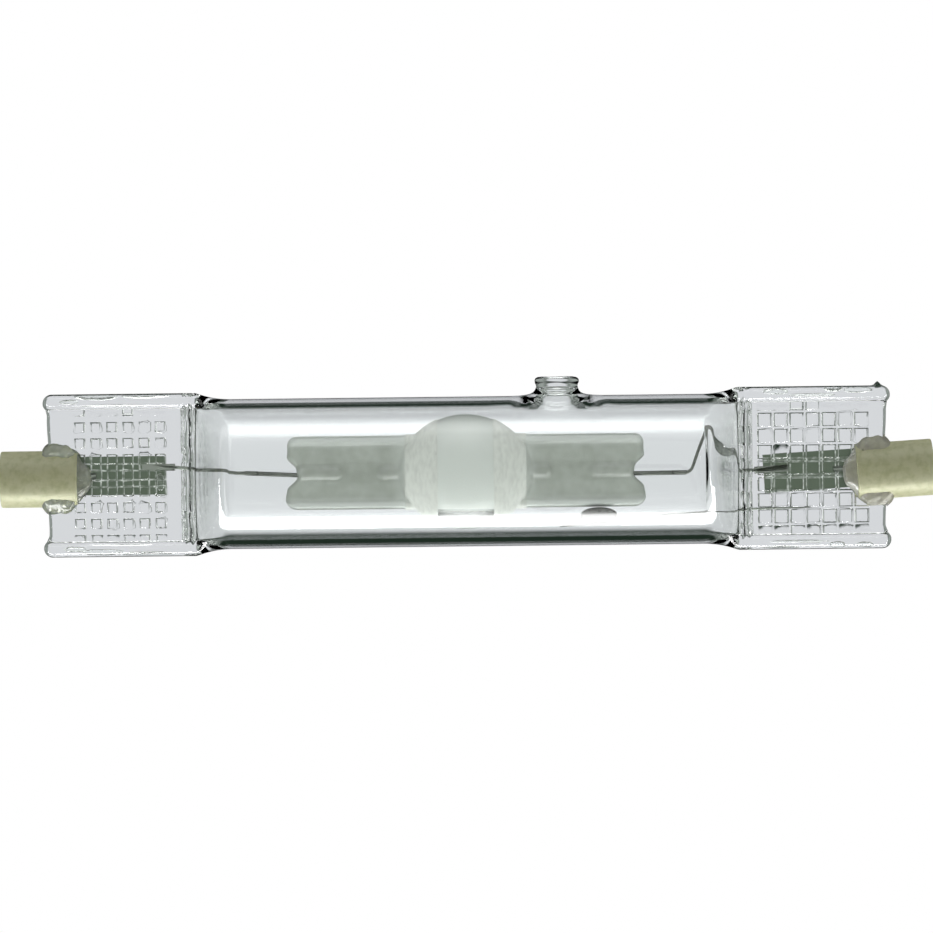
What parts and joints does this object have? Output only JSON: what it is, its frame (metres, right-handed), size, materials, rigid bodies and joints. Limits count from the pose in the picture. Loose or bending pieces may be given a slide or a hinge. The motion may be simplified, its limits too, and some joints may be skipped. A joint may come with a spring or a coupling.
{
  "type": "metal halide lamp",
  "caption": "Double-ended metal halide lamp: a pinched quartz jacket with waffled flat ends, a frosted arc tube inside, and a recessed-contact ceramic cap on each end.",
  "frame": {"origin": "middle of the left contact's face, which is the floor of the left cap's recess", "axes": "+X along the lamp towards the right contact; +Z in the flat of the pinches, towards the exhaust tip; +Y through the thickness of the pinches, away from the viewer of the picture"},
  "size_m": [0.1356, 0.0218, 0.0256],
  "materials": {
    "clear_quartz": "gloss",
    "frosted_quartz": "satin",
    "cap_ceramic": "satin",
    "contact_nickel": "satin",
    "cement": "matte",
    "pinch_molybdenum": "satin",
    "lead_molybdenum": "satin",
    "heat_coat": "matte",
    "tungsten": "satin",
    "mercury": "polished",
    "halide_salt": "satin",
    "getter_steel": "satin"
  },
  "bodies": {
    "root": {"jacket": "clear_quartz", "left_cap": "cap_ceramic", "right_cap": "cap_ceramic", "left_contact": "contact_nickel", "right_contact": "contact_nickel", "left_cement": "cement", "right_cement": "cement", "left_foil": "pinch_molybdenum", "right_foil": "pinch_molybdenum", "left_cap_lead": "lead_molybdenum", "right_cap_lead": "lead_molybdenum", "left_support_lead": "lead_molybdenum", "right_support_lead": "lead_molybdenum", "arc_tube": "frosted_quartz", "left_heat_coat": "heat_coat", "right_heat_coat": "heat_coat", "left_arc_foil": "pinch_molybdenum", "right_arc_foil": "pinch_molybdenum", "left_arc_lead": "lead_molybdenum", "right_arc_lead": "lead_molybdenum", "left_electrode_rod": "tungsten", "right_electrode_rod": "tungsten", "left_electrode_coil": "tungsten", "right_electrode_coil": "tungsten", "mercury_bead": "mercury", "halide_film": "halide_salt", "getter_cup": "getter_steel", "getter_wire": "getter_steel"}
  },
  "joints": []
}
